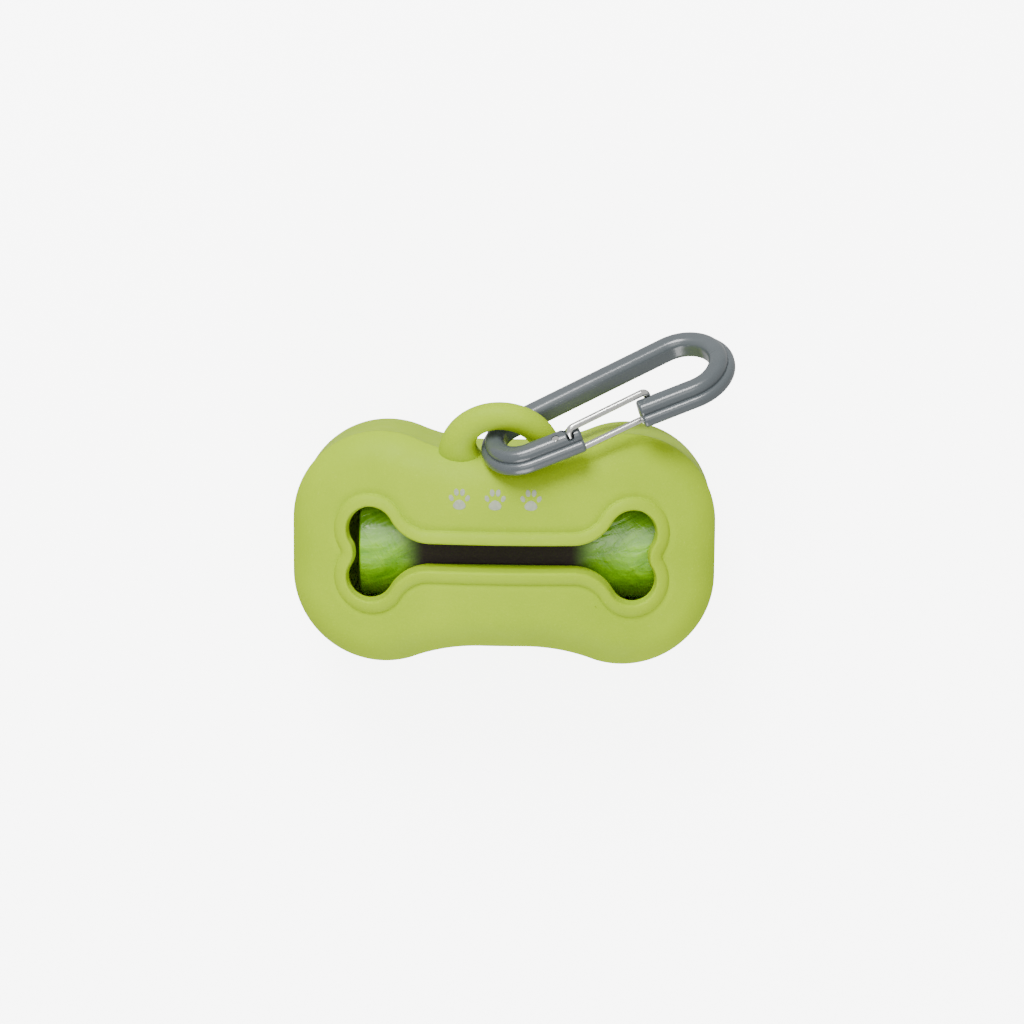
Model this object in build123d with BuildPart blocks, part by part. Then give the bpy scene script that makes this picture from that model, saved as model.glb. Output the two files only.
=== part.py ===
"""Pocket dispenser for dog waste bags.

A soft silicone case, bone-shaped from the front, lies on its back at z = 0. Its long axis is X, its front
face looks along +Z, and its hanging loop points along +Y. A roll of bags lies inside along X, and a small
wire-gate carabiner goes through the loop. Everything is in millimetres.
"""

from build123d import *

import os
from math import asin, atan2, cos, degrees, radians, sin, sqrt

os.makedirs("parts", exist_ok=True)

# Case: a waisted outline, symmetric about X and Y, under a gently domed front.
LOBE_X = 24.4
LOBE_Y = 5.4
LOBE_R = 18.1
WAIST_Y = 19.5
BLEND_R = 34.0
CASE_TOP = 34.6
DOME_R = 115.0
FRONT_ROUND = 9.0
BACK_ROUND = 7.0
PARTING_STEP = 1.2
WALL = 2.6

# Window: a bone with notched ends, inside a raised lip that also reaches inwards as a rim.
WINDOW_CENTRE = (-0.3, -0.6)
WINDOW_X = 26.2
WINDOW_Y = 4.8
WINDOW_R = 4.4
SLOT_HALF = 2.3
WINDOW_BLEND = 9.4
NOTCH_R = 4.5
LIP_WIDTH = 2.9
LIP_RISE = 0.9
LIP_ROUND = 0.85
RIM_Z = 28.4

# Hanging loop: an arch of round section that leans forwards, with both feet in the front edge of the waist.
LOOP_X = -0.7
LOOP_Y = 19.3
LOOP_Z = 28.5
LOOP_R = 9.6
LOOP_TUBE_R = 2.75
LOOP_LEAN = 28.0
LOOP_FOOT_TURN = 25.0

# Bag roll: a paper core with the bags wound on it, one after another.
ROLL_X = 1.5
ROLL_LENGTH = 61.0
CORE_LENGTH = 60.0
CORE_BORE_R = 5.0
CORE_WALL = 1.0
BAG_COUNT = 15
ROLL_R = 12.1
ROLL_GAP = 0.35

# Carabiner: a pear-shaped ring, whose small bend is in the loop. In its own plane, U runs from the small bend
# to the large one, V from the gate side to the spine side, and W across the ring, away from the case.
RING_ORIGIN = (3.5, 22.9, 32.05)
RING_HEADING = 23.3
RING_DROP = 10.8
RING_TILT = 57.0
SMALL_R = 5.85
LARGE_R = 8.2
BEND_SPACING = 35.0
BAR_HALF = 2.5
BAR_THICK = 4.6
BEAD_OUT = 1.3
FLANGE_TOP = 0.3
FLANGE_ROUND = 1.1
BEAD_ROUND = 1.5
HOOK_U = 10.7
NOSE_U = 23.0
TIP_ROUND = 0.6

# Wire gate: one wire, with both its ends let into the hook and its closed end in a notch of the nose.
WIRE_R = 0.7
WIRE_BEND = 1.1
WIRE_GAP = 0.15
PIN_FIT = 0.05
PIN_U = 5.6
SECOND_END = 2.9
CATCH_U = 25.6
CATCH_IN = 2.25
GATE_TRAVEL = 22.0
SLOT_DEPTH = 1.5
SLOT_SPARE = 12.0
SLOT_FIT = 0.15
SECOND_PIN = 1.2
CATCH_FIT = 0.25


def waisted_quarter(lobe_x, lobe_y, lobe_r, waist_y, blend_r, notch_r=0.0):
    """Draws the quarter of a waisted outline from its end on +X round one lobe to the middle of its waist."""
    blend_y = waist_y + blend_r
    blend_x = lobe_x - sqrt((lobe_r + blend_r) ** 2 - (blend_y - lobe_y) ** 2)
    lobe_end = degrees(atan2(blend_y - lobe_y, blend_x - lobe_x))
    if notch_r:
        notch_x = lobe_x + sqrt((lobe_r + notch_r) ** 2 - lobe_y**2)
        lobe_start = degrees(atan2(-lobe_y, notch_x - lobe_x))
        CenterArc((notch_x, 0), notch_r, 180, lobe_start)
    else:
        lobe_start = 0.0
        Line((lobe_x + lobe_r, 0), (lobe_x + lobe_r, lobe_y))
    CenterArc((lobe_x, lobe_y), lobe_r, lobe_start, lobe_end - lobe_start)
    CenterArc((blend_x, blend_y), blend_r, lobe_end - 180, 90 - lobe_end)
    Line((blend_x, waist_y), (0, waist_y))


def waisted_face(lobe_x, lobe_y, lobe_r, waist_y, blend_r, grow=0.0, notch_r=0.0):
    """Fills the whole waisted outline, moved outwards by grow, in the sketch that is open."""
    with BuildLine() as outline:
        inner_notch = notch_r - grow if notch_r else 0.0
        waisted_quarter(lobe_x, lobe_y, lobe_r + grow, waist_y + grow, blend_r - grow, inner_notch)
        mirror(about=Plane.YZ)
        mirror(about=Plane.XZ)
    make_face(outline.edges())


def case_face(grow=0.0):
    waisted_face(LOBE_X, LOBE_Y, LOBE_R, WAIST_Y, BLEND_R, grow)


def window_face(grow=0.0):
    waisted_face(WINDOW_X, WINDOW_Y, WINDOW_R, SLOT_HALF, WINDOW_BLEND, grow, NOTCH_R)


def dome(inset=0.0):
    """A ball whose top is the front face, less the inset, turned so that its seam lies underneath."""
    centre = Location((0, 0, CASE_TOP - DOME_R))
    return Sphere(DOME_R - inset, rotation=(0, 90, 0), mode=Mode.PRIVATE).moved(centre)


def pillow(inset=0.0):
    """The case's solid, or with an inset its hollow: straight walls cut a domed cap with a wide round."""
    with BuildPart(mode=Mode.PRIVATE) as walls:
        with BuildSketch(Plane.XY.offset(inset)):
            case_face(-inset)
        extrude(amount=CASE_TOP)
        fillet(walls.faces().sort_by(Axis.Z)[0].edges(), BACK_ROUND - inset)
    with BuildPart(mode=Mode.PRIVATE) as cap:
        with BuildSketch(Plane.XY.offset(-1)):
            case_face(PARTING_STEP - inset)
        extrude(amount=CASE_TOP + 2)
        add(dome(inset), mode=Mode.INTERSECT)
        fillet(cap.faces().sort_by(Axis.Z)[-1].edges(), FRONT_ROUND - inset)
    return walls.part & cap.part


def lip_ring():
    """The raised lip round the window, down to the flat inner edge of its rim."""
    with BuildPart(mode=Mode.PRIVATE) as lip:
        with BuildSketch(Plane((*WINDOW_CENTRE, RIM_Z))):
            window_face(LIP_WIDTH)
        extrude(amount=CASE_TOP)
        add(dome(-LIP_RISE), mode=Mode.INTERSECT)
        fillet(lip.faces().sort_by(Axis.Z)[-1].edges(), LIP_ROUND)
    return lip.part


def loop_arch():
    """The hanging loop: a round tube along an arc, in a plane that leans forwards about the line of its feet."""
    across = Vector(1, 0, 0)
    normal = Vector(0, 0, 1).rotate(Axis.X, LOOP_LEAN)
    arch_plane = Plane((LOOP_X, LOOP_Y, LOOP_Z), x_dir=across, z_dir=normal)
    with BuildPart(mode=Mode.PRIVATE) as arch:
        with BuildLine(arch_plane) as run:
            CenterArc((0, 0), LOOP_R, -LOOP_FOOT_TURN, 180 + 2 * LOOP_FOOT_TURN)
        with BuildSketch(Plane(run.line @ 0, z_dir=run.line % 0)):
            Circle(LOOP_TUBE_R)
        sweep(path=run.line)
    return arch.part


def make_case():
    with BuildPart() as case:
        add(pillow())
        add(lip_ring())
        add(loop_arch())
        add(pillow(WALL) - lip_ring(), mode=Mode.SUBTRACT)
        with BuildSketch(Plane((*WINDOW_CENTRE, RIM_Z - 1))):
            window_face()
        extrude(amount=CASE_TOP, mode=Mode.SUBTRACT)
    return case


def make_sleeve(length, inner_r, outer_r):
    """A tube about the roll's axis."""
    axis_z = WALL + ROLL_GAP + ROLL_R
    with BuildPart() as sleeve:
        with BuildSketch(Plane((ROLL_X - length / 2, 0, axis_z), z_dir=(1, 0, 0))):
            Circle(outer_r)
            Circle(inner_r, mode=Mode.SUBTRACT)
        extrude(amount=length)
    return sleeve


def ring_plane():
    """The carabiner's own plane, turned out of the case's frame by its tilt, its drop and its heading."""

    def turned(direction):
        tilted = direction.rotate(Axis.X, -RING_TILT)
        return tilted.rotate(Axis.Y, RING_DROP).rotate(Axis.Z, RING_HEADING)

    return Plane(RING_ORIGIN, x_dir=turned(Vector(1, 0, 0)), z_dir=turned(Vector(0, 0, 1)))


RING = ring_plane()
TAPER = degrees(asin((LARGE_R - SMALL_R) / BEND_SPACING))


def gate_point(u, inwards=0.0, w=0.0):
    """A ring-frame point over the gate-side centre line at u, moved inwards across that line and up by w."""
    edge_v = -(SMALL_R + u * sin(radians(TAPER))) / cos(radians(TAPER))
    return (u + inwards * sin(radians(TAPER)), edge_v + inwards * cos(radians(TAPER)), w)


def pin_plane(u, inwards, w):
    """A plane square to the wire's pins, over the gate side at u, at height w above the ring's own plane."""
    origin = RING.from_local_coords(Vector(*gate_point(u, inwards, w)))
    return Plane(origin, x_dir=RING.x_dir.rotate(Axis(origin, RING.z_dir), -TAPER), z_dir=RING.z_dir)


def bar_section():
    """The bar's section: a wide flange on the far side, and a rounded bead on it that keeps to the inside."""
    flange_thick = BAR_THICK / 2 + FLANGE_TOP
    with Locations((0, (FLANGE_TOP - BAR_THICK / 2) / 2)):
        RectangleRounded(2 * BAR_HALF, flange_thick, FLANGE_ROUND)
    with Locations(((BEAD_OUT - BAR_HALF) / 2, 0)):
        RectangleRounded(BAR_HALF + BEAD_OUT, BAR_THICK, BEAD_ROUND)


def make_carabiner():
    with BuildPart() as body:
        with BuildLine(RING) as centre:
            small = CenterArc((0, 0), SMALL_R, -90 - TAPER, -(180 - 2 * TAPER))
            large = CenterArc((BEND_SPACING, 0), LARGE_R, 90 + TAPER, -(180 + 2 * TAPER))
            Line(gate_point(HOOK_U)[:2], small @ 0)
            Line(small @ 1, large @ 0)
            Line(large @ 1, gate_point(NOSE_U)[:2])
        path = centre.wires()[0]
        with BuildSketch(Plane(path @ 0, x_dir=RING.z_dir.cross(path % 0), z_dir=path % 0)):
            bar_section()
        sweep(path=path)
        tips = body.faces().filter_by(lambda face: is_tip(face, path))
        fillet(tips.edges(), TIP_ROUND)
        with BuildSketch(pin_plane(PIN_U, 0, -BAR_THICK)):
            Circle(WIRE_R + PIN_FIT)
        extrude(amount=2 * BAR_THICK, mode=Mode.SUBTRACT)
        with BuildSketch(pin_plane(PIN_U, 0, BAR_THICK / 2 - SLOT_DEPTH)):
            with BuildLine():
                sweep_arc = CenterArc((0, 0), SECOND_END, -SLOT_SPARE, GATE_TRAVEL + 2 * SLOT_SPARE)
            SlotArc(sweep_arc, 2 * (WIRE_R + SLOT_FIT))
        extrude(amount=BAR_THICK, mode=Mode.SUBTRACT)
        with BuildSketch(pin_plane(CATCH_U, CATCH_IN, -BAR_THICK)):
            with Locations((0, 2)):
                Rectangle(2 * (WIRE_R + CATCH_FIT), 4)
            Circle(WIRE_R + CATCH_FIT)
        extrude(amount=2 * BAR_THICK, mode=Mode.SUBTRACT)
    return body


def is_tip(face, path):
    """True for the two flat ends of the bar."""
    return min((face.center() - end).length for end in (path @ 0, path @ 1)) < BAR_HALF / 2


def make_gate_wire():
    """The sprung wire: a pin through the hook, a leg, the closed end, the other leg and a short second pin."""
    leg_w = BAR_THICK / 2 + WIRE_GAP + WIRE_R
    stops = [
        (PIN_U, 0, BAR_THICK / 2 - WIRE_GAP),
        (PIN_U, 0, -leg_w),
        (CATCH_U, CATCH_IN, -leg_w),
        (CATCH_U, CATCH_IN, leg_w),
        (PIN_U + SECOND_END, 0, leg_w),
        (PIN_U + SECOND_END, 0, BAR_THICK / 2 - SECOND_PIN),
    ]
    points = [RING.from_local_coords(Vector(*gate_point(*stop))) for stop in stops]
    with BuildPart() as wire:
        with BuildLine() as run:
            FilletPolyline(*points, radius=WIRE_BEND)
        with BuildSketch(Plane(run.wires()[0] @ 0, z_dir=run.wires()[0] % 0)):
            Circle(WIRE_R)
        sweep(path=run.wires()[0])
    return wire


def save(piece, name):
    piece.part.label = name
    export_step(piece.part, f"parts/{name}.step")


save(make_case(), "case")
save(make_carabiner(), "carabiner_body")
save(make_gate_wire(), "gate_wire")

core_r = CORE_BORE_R + CORE_WALL
film = (ROLL_R - core_r) / BAG_COUNT
save(make_sleeve(CORE_LENGTH, CORE_BORE_R, core_r), "roll_core")
for number in range(1, BAG_COUNT + 1):
    inner_r = core_r + (number - 1) * film
    save(make_sleeve(ROLL_LENGTH, inner_r, inner_r + film), f"bag_{number:02d}")
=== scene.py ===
"""Looks of a bone-shaped dispenser for dog waste bags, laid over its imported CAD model.

The case, its loop, the outer bag of the roll and three printed paws are new surfaces. The carabiner, its
wire, the card core and the inner bags are the CAD nodes with new finishes. Shapes are worked out in
millimetres and turned into metres when they become meshes.
"""

import bpy
import numpy as np
from mathutils import Matrix


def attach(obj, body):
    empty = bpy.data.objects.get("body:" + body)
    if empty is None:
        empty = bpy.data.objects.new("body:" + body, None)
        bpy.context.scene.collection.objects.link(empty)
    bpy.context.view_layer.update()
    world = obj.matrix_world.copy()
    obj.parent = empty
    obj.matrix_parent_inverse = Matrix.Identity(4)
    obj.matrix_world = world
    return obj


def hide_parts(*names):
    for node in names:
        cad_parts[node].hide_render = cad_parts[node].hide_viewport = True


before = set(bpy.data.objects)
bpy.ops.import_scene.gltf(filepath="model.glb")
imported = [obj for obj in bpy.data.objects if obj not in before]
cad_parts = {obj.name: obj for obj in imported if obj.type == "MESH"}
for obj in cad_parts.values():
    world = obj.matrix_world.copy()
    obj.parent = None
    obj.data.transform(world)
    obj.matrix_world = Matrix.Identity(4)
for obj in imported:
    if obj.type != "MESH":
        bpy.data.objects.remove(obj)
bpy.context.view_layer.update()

# Case outline and walls, as in the CAD model.
LOBE = (24.4, 5.4)
LOBE_R, WAIST_Y, BLEND_R = 18.1, 19.5, 34.0
CASE_TOP, DOME_R = 34.6, 115.0
DOME_Z = CASE_TOP - DOME_R
FRONT_ROUND, BACK_ROUND, PARTING_STEP, WALL = 9.0, 7.0, 1.2, 2.6
WALL_DRAFT, WALL_LEAN, FLASH_HEIGHT, CREASE_BACK = 0.3, 0.14, 0.5, 0.03
FLASH_STEPS = ((0.11, 0.38), (0.03, 0.26), (0.0, 0.14))

# Window and its lip.
WINDOW_CENTRE = np.array((-0.3, -0.6))
WINDOW_LOBE = (26.2, 4.8)
WINDOW_R, SLOT_HALF, WINDOW_BLEND, NOTCH_R = 4.4, 2.3, 9.4, 4.5
LIP_WIDTH, LIP_RISE, RIM_Z = 2.9, 0.9, 28.4
LIP_CREST, LIP_INNER = 0.9, 0.35
GROOVE_REACH, GROOVE_DEPTH = 1.6, 0.22
RIM_EASE = 0.35
RIM_STEPS = ((0.06, 0.16), (0.2, 0.04), (0.4, 0.0), (2.6, 0.0), (2.84, 0.06), (2.9, 0.3))

# Hanging loop.
LOOP_ORIGIN = np.array((-0.7, 19.3, 28.5))
LOOP_R, LOOP_TUBE_R, LOOP_LEAN, LOOP_FOOT = 9.6, 2.75, 28.0, 10.0
LOOP_FLARE, LOOP_FLARE_TURN = (0.5, 1.8), (12.0, 40.0)

# Roll of bags: fifteen films, one on another, from the core out.
ROLL_X, ROLL_Z, ROLL_HALF, ROLL_R, CORE_R, BAG_COUNT = 1.5, 15.05, 30.5, 12.1, 6.0, 15
FILM = (ROLL_R - CORE_R) / BAG_COUNT

# Printed paws: each has a pad and two pairs of toes, which are (x, y, half width, half height, turn).
PRINT_THICK = 0.035
PAW_CENTRES = ((-8.6, 11.0), (-1.5, 11.0), (5.6, 11.0))
PAW_PAD = (-0.95, 1.25, 1.0, 0.25)
PAW_TOES = ((-1.62, 0.35, 0.45, 0.66, 0.45), (-0.6, 1.5, 0.48, 0.72, 0.12))

# Points on a quarter outline: its end, its lobe, its hollow and its straight waist.
POINTS_ON_PARTS = (14, 44, 22, 16)

# Patterns and stage, in metres and degrees: the bar's lie, the painted shade band round the film's middle, the
# floor and the camera.
BAR_TURN = (0.0, 0.19, 0.407)
SHADE_BAND_X, SHADE_BAND_HALF = -0.0012, (0.0145, 0.021)
FLOOR_GLOW, FLOOR_Z, FLOOR_REACH = 6.0, -0.00005, 3.0
CAMERA_TILT, CAMERA_SWING, CAMERA_ROLL = 10.0, 1.5, -0.5
CAMERA_AIM, CAMERA_AWAY, CAMERA_LENS = (1.7, 7.7, 28.0), 600, 105.5
LIT_POINT = (0.0, 0.008, 0.02)


def arc(centre, radius, start, end, count):
    """Points at centre + radius * (cos a, sin a), a from start to end, and the unit vectors (cos a, sin a)."""
    angle = np.linspace(start, end, count, endpoint=False)
    out = np.stack([np.cos(angle), np.sin(angle)], -1)
    return np.asarray(centre) + radius * out, out


def waisted_outline(lobe, lobe_r, waist_y, blend_r, notch_r=0.0):
    """Points round a bone outline and their outward normals.

    One quarter is an end line or a notch arc, the lobe's arc, the hollow arc tangent to it and half of a
    straight waist. It is mirrored in X, turned half round, and mirrored in Y, so the outline closes with no
    repeated point.
    """
    lobe_x, lobe_y = lobe
    blend_y = waist_y + blend_r
    blend_x = lobe_x - np.sqrt((lobe_r + blend_r) ** 2 - (blend_y - lobe_y) ** 2)
    lobe_end = np.arctan2(blend_y - lobe_y, blend_x - lobe_x)
    end_count, lobe_count, blend_count, waist_count = POINTS_ON_PARTS
    if notch_r:
        notch_x = lobe_x + np.sqrt((lobe_r + notch_r) ** 2 - lobe_y**2)
        lobe_start = np.arctan2(-lobe_y, notch_x - lobe_x)
        end, end_out = arc((notch_x, 0), notch_r, np.pi, np.pi + lobe_start, end_count)
        end_out = -end_out
    else:
        lobe_start = 0.0
        rise = np.linspace(0, lobe_y, end_count, endpoint=False)
        end = np.stack([np.full(end_count, lobe_x + lobe_r), rise], -1)
        end_out = np.tile((1.0, 0.0), (end_count, 1))
    round_lobe, lobe_out = arc(lobe, lobe_r, lobe_start, lobe_end, lobe_count)
    hollow, hollow_out = arc((blend_x, blend_y), blend_r, lobe_end - np.pi, -np.pi / 2, blend_count)
    run = np.linspace(blend_x, 0, waist_count + 1)
    waist = np.stack([run, np.full_like(run, waist_y)], -1)
    waist_out = np.tile((0.0, 1.0), (waist_count + 1, 1))
    points = np.concatenate([end, round_lobe, hollow, waist])
    normals = np.concatenate([end_out, lobe_out, -hollow_out, waist_out])
    return round_quarters(points), round_quarters(normals)


def round_quarters(quarter):
    """The quarter, its mirror in X backwards, its half turn, and its mirror in Y backwards."""
    turns = [quarter, quarter[::-1] * (-1, 1), -quarter, quarter[::-1] * (1, -1)]
    return np.concatenate([turn[:-1] for turn in turns])


def dome_height(flat, inset=0.0):
    """Height of the ball of radius DOME_R - inset over each flat point: centre + sqrt(radius^2 - x^2 - y^2)."""
    return DOME_Z + np.sqrt((DOME_R - inset) ** 2 - (flat**2).sum(-1))


def at_height(flat, height):
    """Flat points lifted to one height, or to a height each."""
    return np.concatenate([flat, np.broadcast_to(height, flat.shape[:-1])[..., None]], -1)


def case_rows():
    """Closed rows from the middle of the back, up the outside, over the lip and back down the inside.

    Each row follows the case's outline P with normal n, moved inwards by an inset and set at a height:
    the back round is P - (7 - 7 cos a) n at 7 + 7 sin a, the wall leans out by its draft up to the parting edge,
    and the front round is c + 9 (n cos t + up sin t), where c is a ball's centre 7.8 in from the outline under
    the dome. The dome itself blends from the end of the round to a groove round the lip. The lip is two quarter
    ellipses, its outer one rising from the groove, and the inside is the same shapes, a wall's thickness in.
    """
    case, out = waisted_outline(LOBE, LOBE_R, WAIST_Y, BLEND_R)
    window, window_out = waisted_outline(WINDOW_LOBE, WINDOW_R, SLOT_HALF, WINDOW_BLEND, NOTCH_R)
    window = window + WINDOW_CENTRE
    ball = case - (FRONT_ROUND - PARTING_STEP) * out
    ball_z = DOME_Z + np.sqrt((DOME_R - FRONT_ROUND) ** 2 - (ball**2).sum(-1))
    ball_centre = at_height(ball, ball_z)
    dome_way = (ball_centre - (0, 0, DOME_Z)) / (DOME_R - FRONT_ROUND)
    side_way = at_height(out, 0.0)
    lean = (dome_way * side_way).sum(-1, keepdims=True)
    up_way = (dome_way - lean * side_way) / np.sqrt(1 - lean**2)
    full_turn = np.arccos(lean)
    rows = []

    foot = case - BACK_ROUND * out
    rows += [at_height(foot * share, 0.0) for share in (0.02, 0.33, 0.66, 0.9)]
    for turn in np.linspace(-np.pi / 2, 0, 12):
        inset = BACK_ROUND - (BACK_ROUND - WALL_DRAFT) * np.cos(turn)
        rows.append(at_height(case - inset * out, BACK_ROUND + BACK_ROUND * np.sin(turn)))
    side_turn = np.arccos((FRONT_ROUND - PARTING_STEP - CREASE_BACK) / FRONT_ROUND)
    crease_z = ball_z + FRONT_ROUND * np.sin(side_turn)
    for share in np.linspace(0.15, 1, 6):
        height = BACK_ROUND + share * (crease_z - FLASH_HEIGHT - BACK_ROUND)
        rows.append(at_height(case - (WALL_DRAFT - WALL_LEAN * share) * out, height))
    for inset, under in FLASH_STEPS:
        rows.append(at_height(case - inset * out, crease_z - under))
    for share in np.linspace(0, 1, 18):
        turn = side_turn + share * (full_turn - side_turn)
        rows.append(ball_centre + FRONT_ROUND * (side_way * np.cos(turn) + up_way * np.sin(turn)))

    dome_edge = rows[-1][:, :2]
    lip_edge = window + LIP_WIDTH * window_out
    groove_edge = lip_edge + GROOVE_REACH * window_out
    for share in np.linspace(0, 1, 20)[1:]:
        flat = dome_edge + share * (groove_edge - dome_edge)
        rows.append(at_height(flat, dome_height(flat)))
    for share in np.linspace(0, 1, 9)[1:-1]:
        flat = groove_edge + share * (lip_edge - groove_edge)
        rows.append(at_height(flat, dome_height(flat) - GROOVE_DEPTH * share**2 * (1.8 - 0.8 * share)))
    for turn in np.linspace(0, np.pi, 29):
        outer = turn <= np.pi / 2
        half = LIP_WIDTH - LIP_CREST if outer else LIP_CREST - LIP_INNER
        sunk = GROOVE_DEPTH if outer else 0.0
        flat = window + (LIP_CREST + half * np.cos(turn)) * window_out
        rows.append(at_height(flat, dome_height(flat) - sunk + (LIP_RISE + sunk) * np.sin(turn)))
    for share in np.linspace(0.12, 1, 8):
        flat = window + LIP_INNER * (1 - share) * window_out
        rows.append(at_height(flat, (1 - share) * dome_height(flat) + share * (RIM_Z + RIM_EASE)))
    for grow, height in RIM_STEPS:
        rows.append(at_height(window + grow * window_out, RIM_Z + height))

    inner_round = FRONT_ROUND - WALL
    inner_edge = (ball_centre + inner_round * dome_way)[:, :2]
    for share in np.linspace(0, 1, 9):
        flat = lip_edge + share * (inner_edge - lip_edge)
        rows.append(at_height(flat, dome_height(flat, WALL)))
    inner_turn = np.arccos((FRONT_ROUND - PARTING_STEP - WALL) / inner_round)
    for share in np.linspace(0.1, 1, 9):
        turn = full_turn + share * (inner_turn - full_turn)
        rows.append(ball_centre + inner_round * (side_way * np.cos(turn) + up_way * np.sin(turn)))
    inner_back = BACK_ROUND - WALL
    for turn in np.linspace(0, -np.pi / 2, 8):
        flat = case - (BACK_ROUND - inner_back * np.cos(turn)) * out
        rows.append(at_height(flat, BACK_ROUND + inner_back * np.sin(turn)))
    rows += [at_height(foot * share, WALL) for share in (0.66, 0.33, 0.02)]
    return np.array(rows)


def loop_rows():
    """Ellipses along an arch, at centre + R (x cos a + y sin a).

    Each is (r + f) cos b towards a, plus r sin b along the arch's normal. The flare f grows towards each foot as
    its size times exp(-(turn from the foot / reach)^2), and the arch's radius R shrinks by the same, so that each
    foot widens into the arch. The left one is the wider.
    """
    lean = np.radians(LOOP_LEAN)
    across = np.array((1, 0, 0))
    rise = np.array((0, np.cos(lean), np.sin(lean)))
    face = np.array((0, -np.sin(lean), np.cos(lean)))
    turn = np.radians(np.linspace(-LOOP_FOOT, 180 + LOOP_FOOT, 121))[:, None, None]
    around = np.linspace(0, 2 * np.pi, 56, endpoint=False)[None, :, None]
    outward = across * np.cos(turn) + rise * np.sin(turn)
    widen = 0.0
    for from_foot, flare, reach in zip((turn, np.pi - turn), LOOP_FLARE, LOOP_FLARE_TURN):
        widen = widen + flare * np.exp(-(((np.degrees(from_foot) + LOOP_FOOT) / reach) ** 2))
    wide = LOOP_R - widen + (LOOP_TUBE_R + widen) * np.cos(around)
    return LOOP_ORIGIN + wide * outward + LOOP_TUBE_R * face * np.sin(around)


def outer_bag_rows():
    """The last bag on the roll: r(a, x) = R less three ripples, closed over both ends to its inner face.

    The ripples are a slow out-of-roundness in a, a slack that waves along a spiral, and puckers that slant
    across the roll near its ends, fading towards the middle. The free edge of the film is a small step along one
    line of the roll.
    """
    around = np.linspace(0, 2 * np.pi, 420, endpoint=False)[None, :]
    along = np.linspace(-1, 1, 190)[:, None]
    near_end = np.exp(-((1 - np.abs(along)) * 3.2) ** 2)
    slow = 0.05 * (1 + np.sin(2 * around + 0.6))
    slack = 0.035 * (1 + np.sin(5 * around + 9 * along + 1.5 * np.sin(4 * along)))
    slant = np.sin(30 * along + 4 * around + 1.3 * np.sin(3 * around)) * np.sin(2 * around + 5 * along)
    puckers = 0.06 * near_end * (1 + slant)
    free_edge = 0.05 / (1 + np.exp(-60 * np.sin((around - 0.9) / 2)))
    radius = ROLL_R - 0.01 - slow * 0.6 - slack - puckers - free_edge
    inner = ROLL_R - FILM + 0.005
    end_ripple = 0.12 * (1 + np.sin(3 * around + 0.4)) / 2
    x = ROLL_HALF * along * np.ones_like(around)
    x = x - np.sign(x) * end_ripple * np.abs(along) ** 24
    inner_x = x[[-1, -1, 0, 0]] * [[0.9995], [0.99], [0.99], [0.9995]]
    inner_r = np.full((4, around.size), inner)
    x, radius = np.concatenate([x, inner_x]), np.concatenate([radius, inner_r])
    return np.stack([ROLL_X + x, radius * np.cos(around), ROLL_Z + radius * np.sin(around)], -1)


def paw_pad(centre, half_width, half_height, turn, pinch=0.0):
    """A thin closed lens on the dome: an ellipse turned in its plane, and pinched by 1 - pinch sin a."""
    reach = np.concatenate([np.linspace(0.02, 1, 9), np.linspace(1, 0.02, 4)])[:, None]
    around = np.linspace(0, 2 * np.pi, 40, endpoint=False)[None, :]
    across = reach * half_width * np.cos(around) * (1 - pinch * np.sin(around))
    rise = reach * half_height * np.sin(around) * np.ones_like(across)
    flat = np.stack(
        [
            centre[0] + across * np.cos(turn) - rise * np.sin(turn),
            centre[1] + across * np.sin(turn) + rise * np.cos(turn),
        ],
        -1,
    )
    proud = np.concatenate([PRINT_THICK * (1 - np.linspace(0.02, 1, 9) ** 12), np.full(4, -PRINT_THICK)])
    return at_height(flat, dome_height(flat) + proud[:, None])


def tube_faces(rows, columns, joined=False):
    """Quads between each row and the next, round the columns; the end rows are filled in, or joined."""
    index = np.arange(rows * columns).reshape(rows, columns)
    below, above = (index, np.roll(index, -1, 0)) if joined else (index[:-1], index[1:])
    quads = np.stack([below, np.roll(below, -1, 1), np.roll(above, -1, 1), above], -1).reshape(-1, 4)
    caps = [] if joined else [index[0, ::-1].tolist(), index[-1].tolist()]
    return quads, caps


def inside_out(points, quads):
    """True when the volume under the quads, summed as corner products, is negative."""
    a, b, c, d = (points[quads[:, k]] for k in range(4))
    return np.einsum("ij,ij->", a, np.cross(b, c) + np.cross(c, d)) < 0


def make_piece(name, grids, finish, body, joined=False):
    """One smooth mesh from closed grids of points in millimetres, with its faces outwards, riding on a body."""
    points, faces, count = [], [], 0
    for grid in grids:
        rows, columns = grid.shape[:2]
        quads, caps = tube_faces(rows, columns, joined)
        flat = grid.reshape(-1, 3)
        if inside_out(flat - flat.mean(0), quads):
            quads, caps = quads[:, ::-1], [cap[::-1] for cap in caps]
        faces += (quads + count).tolist() + [[corner + count for corner in cap] for cap in caps]
        points.append(flat)
        count += len(flat)
    mesh = bpy.data.meshes.new(name)
    mesh.from_pydata(np.concatenate(points) * 0.001, [], faces)
    mesh.shade_smooth()
    mesh.materials.append(finish)
    piece = bpy.data.objects.new(name, mesh)
    bpy.context.scene.collection.objects.link(piece)
    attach(piece, body)
    return piece


def shade(red, green, blue):
    """A display colour, each channel 0 to 255, as the linear colour that a socket takes."""
    value = np.array((red, green, blue)) / 255
    return (*np.where(value <= 0.04045, value / 12.92, ((value + 0.055) / 1.055) ** 2.4), 1.0)


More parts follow.
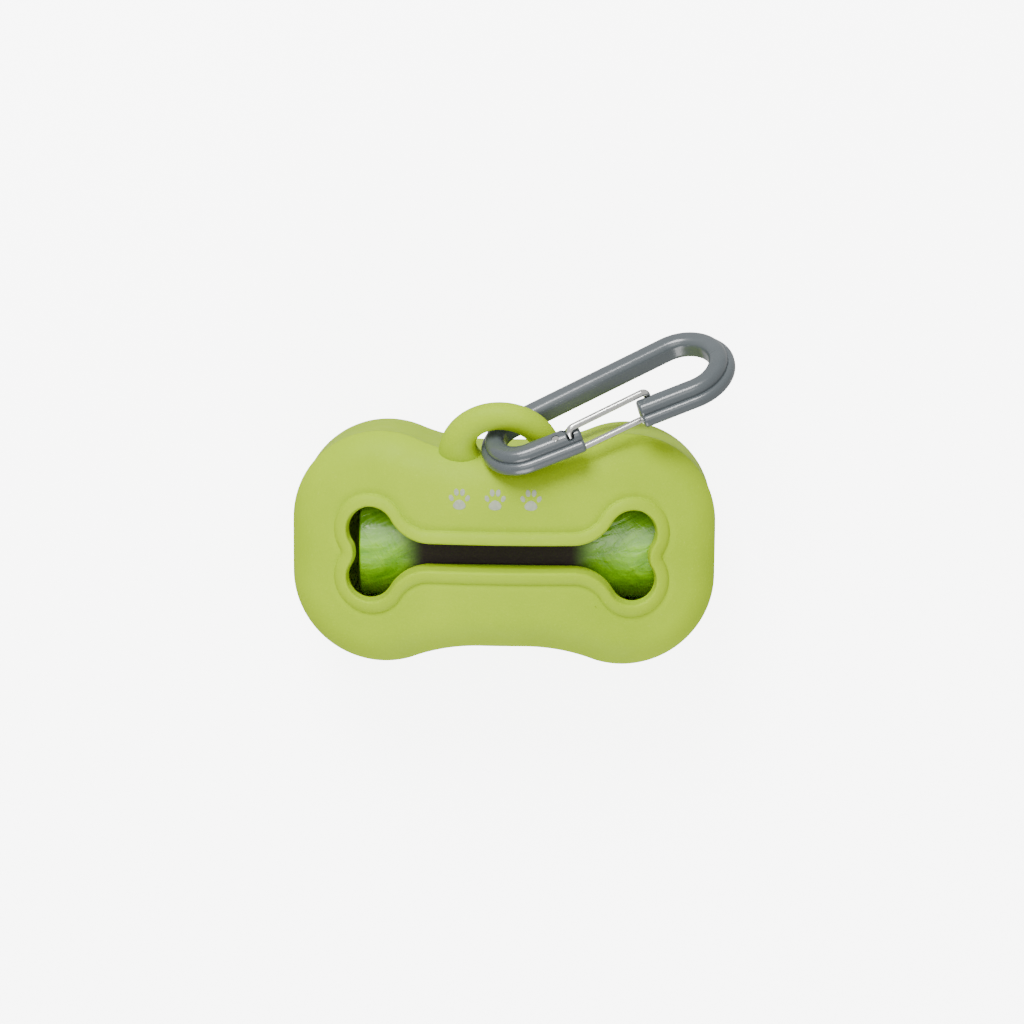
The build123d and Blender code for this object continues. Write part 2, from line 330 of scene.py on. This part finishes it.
class Finish:
    """A Principled material whose patterns all read the piece's own Object coordinates, in metres."""

    def __init__(self, name, **sockets):
        self.material = bpy.data.materials.new(name)
        self.material.use_nodes = True
        self.tree = self.material.node_tree
        self.shader = self.tree.nodes["Principled BSDF"]
        self.place = self.tree.nodes.new("ShaderNodeTexCoord").outputs["Object"]
        for socket, value in sockets.items():
            self.shader.inputs[socket.replace("_", " ")].default_value = value

    def node(self, kind, settings=(), **links):
        """Adds a node; links are its inputs by name, either another node's output or a plain value."""
        made = self.tree.nodes.new(kind)
        for attribute, value in dict(settings).items():
            setattr(made, attribute, value)
        for socket, value in links.items():
            self.feed(made.inputs[socket.replace("_", " ")], value)
        return made

    def feed(self, socket, value):
        if isinstance(value, bpy.types.NodeSocket):
            self.tree.links.new(value, socket)
        else:
            socket.default_value = value

    def stretched(self, stretch=(1, 1, 1), turn=(0, 0, 0), centre=(0, 0, 0)):
        """Object coordinates about a centre, in a frame turned by the angles, drawn out by the factors."""
        made = self.node(
            "ShaderNodeMapping",
            {"vector_type": "TEXTURE"},
            Vector=self.place,
            Location=centre,
            Rotation=turn,
            Scale=stretch,
        )
        return made.outputs["Vector"]

    def noise(self, scale, detail=3.0, roughness=0.5, place=None, distortion=0.0):
        made = self.node(
            "ShaderNodeTexNoise",
            Vector=place or self.place,
            Scale=scale,
            Detail=detail,
            Roughness=roughness,
            Distortion=distortion,
        )
        return made.outputs["Fac"]

    def spread(self, value, low, high, to_low, to_high):
        limits = {"From_Min": low, "From_Max": high, "To_Min": to_low, "To_Max": to_high}
        made = self.node("ShaderNodeMapRange", Value=value, **limits)
        return made.outputs["Result"]

    def blend(self, share, first, second):
        made = self.node("ShaderNodeMix", {"data_type": "RGBA"})
        self.feed(made.inputs[0], share)
        self.feed(made.inputs[6], first)
        self.feed(made.inputs[7], second)
        return made.outputs[2]

    def relief(self, height, distance, strength=1.0, under=None):
        made = self.node("ShaderNodeBump", Height=height, Distance=distance, Strength=strength)
        if under:
            self.feed(made.inputs["Normal"], under)
        return made.outputs["Normal"]

    def wear(self, **links):
        for socket, value in links.items():
            self.feed(self.shader.inputs[socket.replace("_", " ")], value)
        return self.material


def silicone_finish():
    """Matt lime silicone: soft cloudy colour, a fine eggshell grain, faint moulding waves and a dusty sheen."""
    skin = Finish(
        "lime_silicone",
        Subsurface_Weight=0.08,
        Subsurface_Radius=(1.0, 1.0, 0.3),
        Subsurface_Scale=0.0012,
        Sheen_Weight=0.05,
        Sheen_Roughness=0.5,
        Sheen_Tint=shade(190, 215, 90),
        Specular_IOR_Level=0.22,
        IOR=1.41,
    )
    cloud = skin.spread(skin.noise(55, 3.0), 0.3, 0.7, 0.0, 1.0)
    tone = skin.blend(cloud, SILICONE_DEEP, SILICONE_PALE)
    speck = skin.spread(skin.noise(2600, 2.0), 0.62, 0.8, 0.0, 0.35)
    tone = skin.blend(speck, tone, SILICONE_DUST)
    grain = skin.relief(skin.noise(3000, 2.5, 0.6), 0.00005, 0.7)
    waves = skin.relief(skin.noise(140, 2.0), 0.00025, 0.25, grain)
    smear = skin.spread(skin.noise(170, 4.0, 0.6, distortion=0.6), 0.3, 0.7, 0.52, 0.66)
    return skin.wear(Base_Color=tone, Roughness=smear, Normal=waves)


def nylon_finish():
    """Glossy grey moulded nylon: faint flow marks along the bar, tiny scuffs and a thin clear skin."""
    bar = Finish("grey_nylon", Specular_IOR_Level=0.5, IOR=1.53, Coat_Weight=0.25, Coat_Roughness=0.12)
    flow = bar.noise(130, 3.0, 0.5, bar.stretched((5, 1, 1), BAR_TURN))
    tone = bar.blend(bar.spread(flow, 0.3, 0.7, 0.0, 1.0), NYLON_DEEP, NYLON_PALE)
    scuff = bar.noise(1500, 4.0, 0.6, bar.stretched((6, 1, 1), (0, 0, 1.1)))
    tone = bar.blend(bar.spread(scuff, 0.6, 0.8, 0.0, 0.12), tone, NYLON_SCUFF)
    gloss = bar.spread(flow, 0.35, 0.7, 0.26, 0.32)
    dimples = bar.relief(bar.noise(900, 2.0), 0.00002, 0.2)
    return bar.wear(Base_Color=tone, Roughness=gloss, Normal=dimples)


def wire_finish():
    """Bright plated wire: long drawing lines, and small dull spots where the plating has rubbed."""
    wire = Finish("bright_wire", Metallic=1.0, Anisotropic=0.3)
    drawn = wire.noise(1400, 3.0, 0.6, wire.stretched((12, 1, 1), BAR_TURN))
    spots = wire.noise(700, 4.0, 0.6)
    tone = wire.blend(wire.spread(spots, 0.55, 0.72, 0.0, 0.6), WIRE_BRIGHT, WIRE_DULL)
    return wire.wear(
        Base_Color=tone,
        Roughness=wire.spread(spots, 0.35, 0.7, 0.12, 0.24),
        Normal=wire.relief(drawn, 0.00001, 0.3),
    )


def card_finish():
    """Grey-brown card tube: tangled fibres, darker flecks and a soft felted surface."""
    card = Finish("core_card", Specular_IOR_Level=0.2, Sheen_Weight=0.1)
    fibre = card.noise(1500, 6.0, 0.7, card.stretched((3, 1, 1)), 1.2)
    fleck = card.spread(card.noise(900, 3.0), 0.62, 0.7, 0.0, 0.5)
    tone = card.blend(card.spread(fibre, 0.3, 0.7, 0.0, 1.0), shade(128, 104, 78), shade(168, 142, 110))
    return card.wear(
        Base_Color=card.blend(fleck, tone, shade(92, 74, 56)),
        Roughness=card.spread(fibre, 0.3, 0.7, 0.78, 0.92),
        Normal=card.relief(fibre, 0.00008, 0.6),
    )


def film_finish():
    """Thin green bag film: creases drawn out along the roll, slanting puckers and wound edges as fine rings.

    A dull dark band round the middle of the roll is painted shade, standing in for the deep shadow under the
    slot.
    """
    film = Finish("green_film", IOR=1.5, Specular_IOR_Level=0.8)
    crease = film.noise(210, 5.0, 0.6, film.stretched((4, 1, 1), (0.0, 0.25, 0.35)), 1.4)
    pucker = film.noise(420, 4.0, 0.6, film.stretched((1, 4, 4), (0.0, 0.0, 0.7)), 0.9)
    rings = film.node(
        "ShaderNodeTexWave",
        {"wave_type": "RINGS", "rings_direction": "X"},
        Vector=film.stretched(centre=(0, 0, ROLL_Z * 0.001)),
        Scale=np.pi / (10 * FILM * 0.001),
        Distortion=1.5,
        Detail=2.0,
    )
    tone = film.blend(film.spread(crease, 0.35, 0.68, 0.0, 1.0), FILM_DEEP, FILM_PALE)
    tone = film.blend(film.spread(pucker, 0.55, 0.75, 0.0, 0.5), tone, FILM_BRIGHT)
    # Painted shade: a dark band round the middle of the roll, where the slot above shades it, found from X.
    along = film.node("ShaderNodeSeparateXYZ", Vector=film.stretched(centre=(SHADE_BAND_X, 0, 0))).outputs["X"]
    away = film.node("ShaderNodeMath", {"operation": "ABSOLUTE"})
    film.feed(away.inputs[0], along)
    in_painted_shade = film.node(
        "ShaderNodeMapRange",
        {"interpolation_type": "SMOOTHSTEP"},
        Value=away.outputs[0],
        From_Min=SHADE_BAND_HALF[0],
        From_Max=SHADE_BAND_HALF[1],
        To_Min=1.0,
        To_Max=0.0,
    ).outputs["Result"]
    # Painted shade: the film's colour turns to a dark brown in the band round the middle of the roll.
    tone = film.blend(in_painted_shade, tone, FILM_PAINTED_SHADE)
    wound = film.relief(rings.outputs["Fac"], 0.00005, 0.2)
    soft = film.relief(crease, 0.0007, 0.55, wound)
    return film.wear(
        Base_Color=tone,
        Roughness=film.spread(in_painted_shade, 0.0, 1.0, film.spread(pucker, 0.3, 0.75, 0.16, 0.3), 0.9),
        Normal=film.relief(pucker, 0.0004, 0.4, soft),
    )


def print_finish():
    """Grey pad print: slightly uneven ink with pinholes, flatter than the silicone under it."""
    ink = Finish("grey_print", Specular_IOR_Level=0.3)
    uneven = ink.noise(1800, 4.0, 0.6)
    tone = ink.blend(ink.spread(uneven, 0.35, 0.7, 0.0, 1.0), shade(142, 150, 128), shade(160, 168, 140))
    return ink.wear(
        Base_Color=tone,
        Roughness=ink.spread(uneven, 0.3, 0.7, 0.45, 0.6),
        Normal=ink.relief(uneven, 0.00002, 0.4),
    )


def floor_finish():
    """White studio paper, with a hardly visible tooth."""
    paper = Finish("white_paper", Specular_IOR_Level=0.0, Roughness=1.0)
    tooth = paper.noise(800, 3.0)
    paper.shader.inputs["Emission Color"].default_value = (1, 1, 1, 1)
    paper.shader.inputs["Emission Strength"].default_value = FLOOR_GLOW
    return paper.wear(
        Base_Color=paper.blend(tooth, (0.88, 0.88, 0.88, 1), (0.92, 0.92, 0.92, 1)),
        Normal=paper.relief(tooth, 0.00002, 0.2),
    )


def redress(nodes, finish):
    """Puts a finish on every material slot of the CAD nodes."""
    for node in nodes:
        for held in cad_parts[node].material_slots:
            held.material = finish


def looking(back, roll=0.0):
    """A turn whose local Z is back and whose local Y is nearest to +Y, rolled by an angle in degrees."""
    back = np.array(back, float) / np.linalg.norm(back)
    right = np.cross((0, 1, 0), back)
    right /= np.linalg.norm(right)
    up = np.cross(back, right)
    turn = np.radians(roll)
    return Matrix(
        np.stack([np.cos(turn) * right - np.sin(turn) * up, np.sin(turn) * right + np.cos(turn) * up, back], -1)
    )


def add_camera():
    """A long lens 600 mm from the object, nearly square to its front and a little towards +Y."""
    tilt, swing = np.radians(CAMERA_TILT), np.radians(CAMERA_SWING)
    back = np.array((np.sin(swing) * np.cos(tilt), np.sin(tilt), np.cos(swing) * np.cos(tilt)))
    lens = bpy.data.cameras.new("camera")
    lens.sensor_width, lens.lens = 36.0, CAMERA_LENS
    lens.clip_start, lens.clip_end = 0.01, 10.0
    camera = bpy.data.objects.new("camera", lens)
    place = np.array(CAMERA_AIM) + CAMERA_AWAY * back
    camera.matrix_world = Matrix.Translation(place * 0.001) @ looking(back, CAMERA_ROLL).to_4x4()
    bpy.context.scene.collection.objects.link(camera)
    bpy.context.scene.camera = camera


def add_softbox(name, way, distance, size, power):
    """A square area light at a distance along a way from the object, facing it."""
    lamp = bpy.data.lights.new(name, "AREA")
    lamp.shape, lamp.size, lamp.energy = "SQUARE", size, power
    box = bpy.data.objects.new(name, lamp)
    way = np.array(way, float) / np.linalg.norm(way)
    place = np.array(LIT_POINT) + distance * way
    box.matrix_world = Matrix.Translation(place) @ looking(way).to_4x4()
    bpy.context.scene.collection.objects.link(box)


def add_floor(finish):
    """A wide floor just under the back face, seen by the camera but not by the object's own reflections."""
    mesh = bpy.data.meshes.new("floor")
    corners = [(-FLOOR_REACH, -FLOOR_REACH), (FLOOR_REACH, -FLOOR_REACH)]
    corners += [(FLOOR_REACH, FLOOR_REACH), (-FLOOR_REACH, FLOOR_REACH)]
    mesh.from_pydata([(x, y, FLOOR_Z) for x, y in corners], [], [(0, 1, 2, 3)])
    mesh.materials.append(finish)
    floor = bpy.data.objects.new("floor", mesh)
    floor.visible_diffuse = False
    floor.visible_glossy = False
    bpy.context.scene.collection.objects.link(floor)


def add_sky(strength):
    """An even white surround."""
    world = bpy.data.worlds.new("studio")
    world.use_nodes = True
    world.node_tree.nodes["Background"].inputs["Color"].default_value = (1, 1, 1, 1)
    world.node_tree.nodes["Background"].inputs["Strength"].default_value = strength
    bpy.context.scene.world = world


SILICONE_DEEP, SILICONE_PALE, SILICONE_DUST = shade(146, 177, 8), shade(157, 188, 12), shade(184, 208, 78)
NYLON_DEEP, NYLON_PALE, NYLON_SCUFF = shade(68, 74, 77), shade(78, 84, 87), shade(98, 103, 105)
WIRE_BRIGHT, WIRE_DULL = shade(215, 215, 210), shade(150, 150, 145)
FILM_DEEP, FILM_PALE, FILM_BRIGHT = shade(98, 156, 0), shade(132, 192, 5), shade(158, 210, 24)
# Colour of the painted shade in the band round the middle of the film roll.
FILM_PAINTED_SHADE = shade(38, 26, 18)

silicone = silicone_finish()
film = film_finish()

case_shell = make_piece("case_shell", [case_rows(), loop_rows()], silicone, "case")
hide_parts("case")
outer_bag = make_piece("outer_bag", [outer_bag_rows()], film, "bag_roll", joined=True)
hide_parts("bag_15")

pads = []
for paw_x, paw_y in PAW_CENTRES:
    below, pad_width, pad_height, pinch = PAW_PAD
    pads.append(paw_pad((paw_x, paw_y + below), pad_width, pad_height, 0.0, pinch))
    for toe_x, toe_y, half_width, half_height, turn in PAW_TOES:
        pads.append(paw_pad((paw_x + toe_x, paw_y + toe_y), half_width, half_height, turn))
        pads.append(paw_pad((paw_x - toe_x, paw_y + toe_y), half_width, half_height, -turn))
make_piece("paw_prints", pads, print_finish(), "case")

redress(["carabiner_body"], nylon_finish())
redress(["gate_wire"], wire_finish())
redress(["roll_core"], card_finish())
redress([f"bag_{number:02d}" for number in range(1, 15)], film)

add_floor(floor_finish())
add_sky(0.8)
add_softbox("key", (-0.2, 0.78, 0.64), 0.7, 0.3, 7.5)
add_softbox("overhead", (0.0, 0.16, 0.98), 0.9, 0.5, 2.2)
add_softbox("fill", (0.1, -0.93, 0.36), 0.9, 0.5, 6.0)
add_camera()
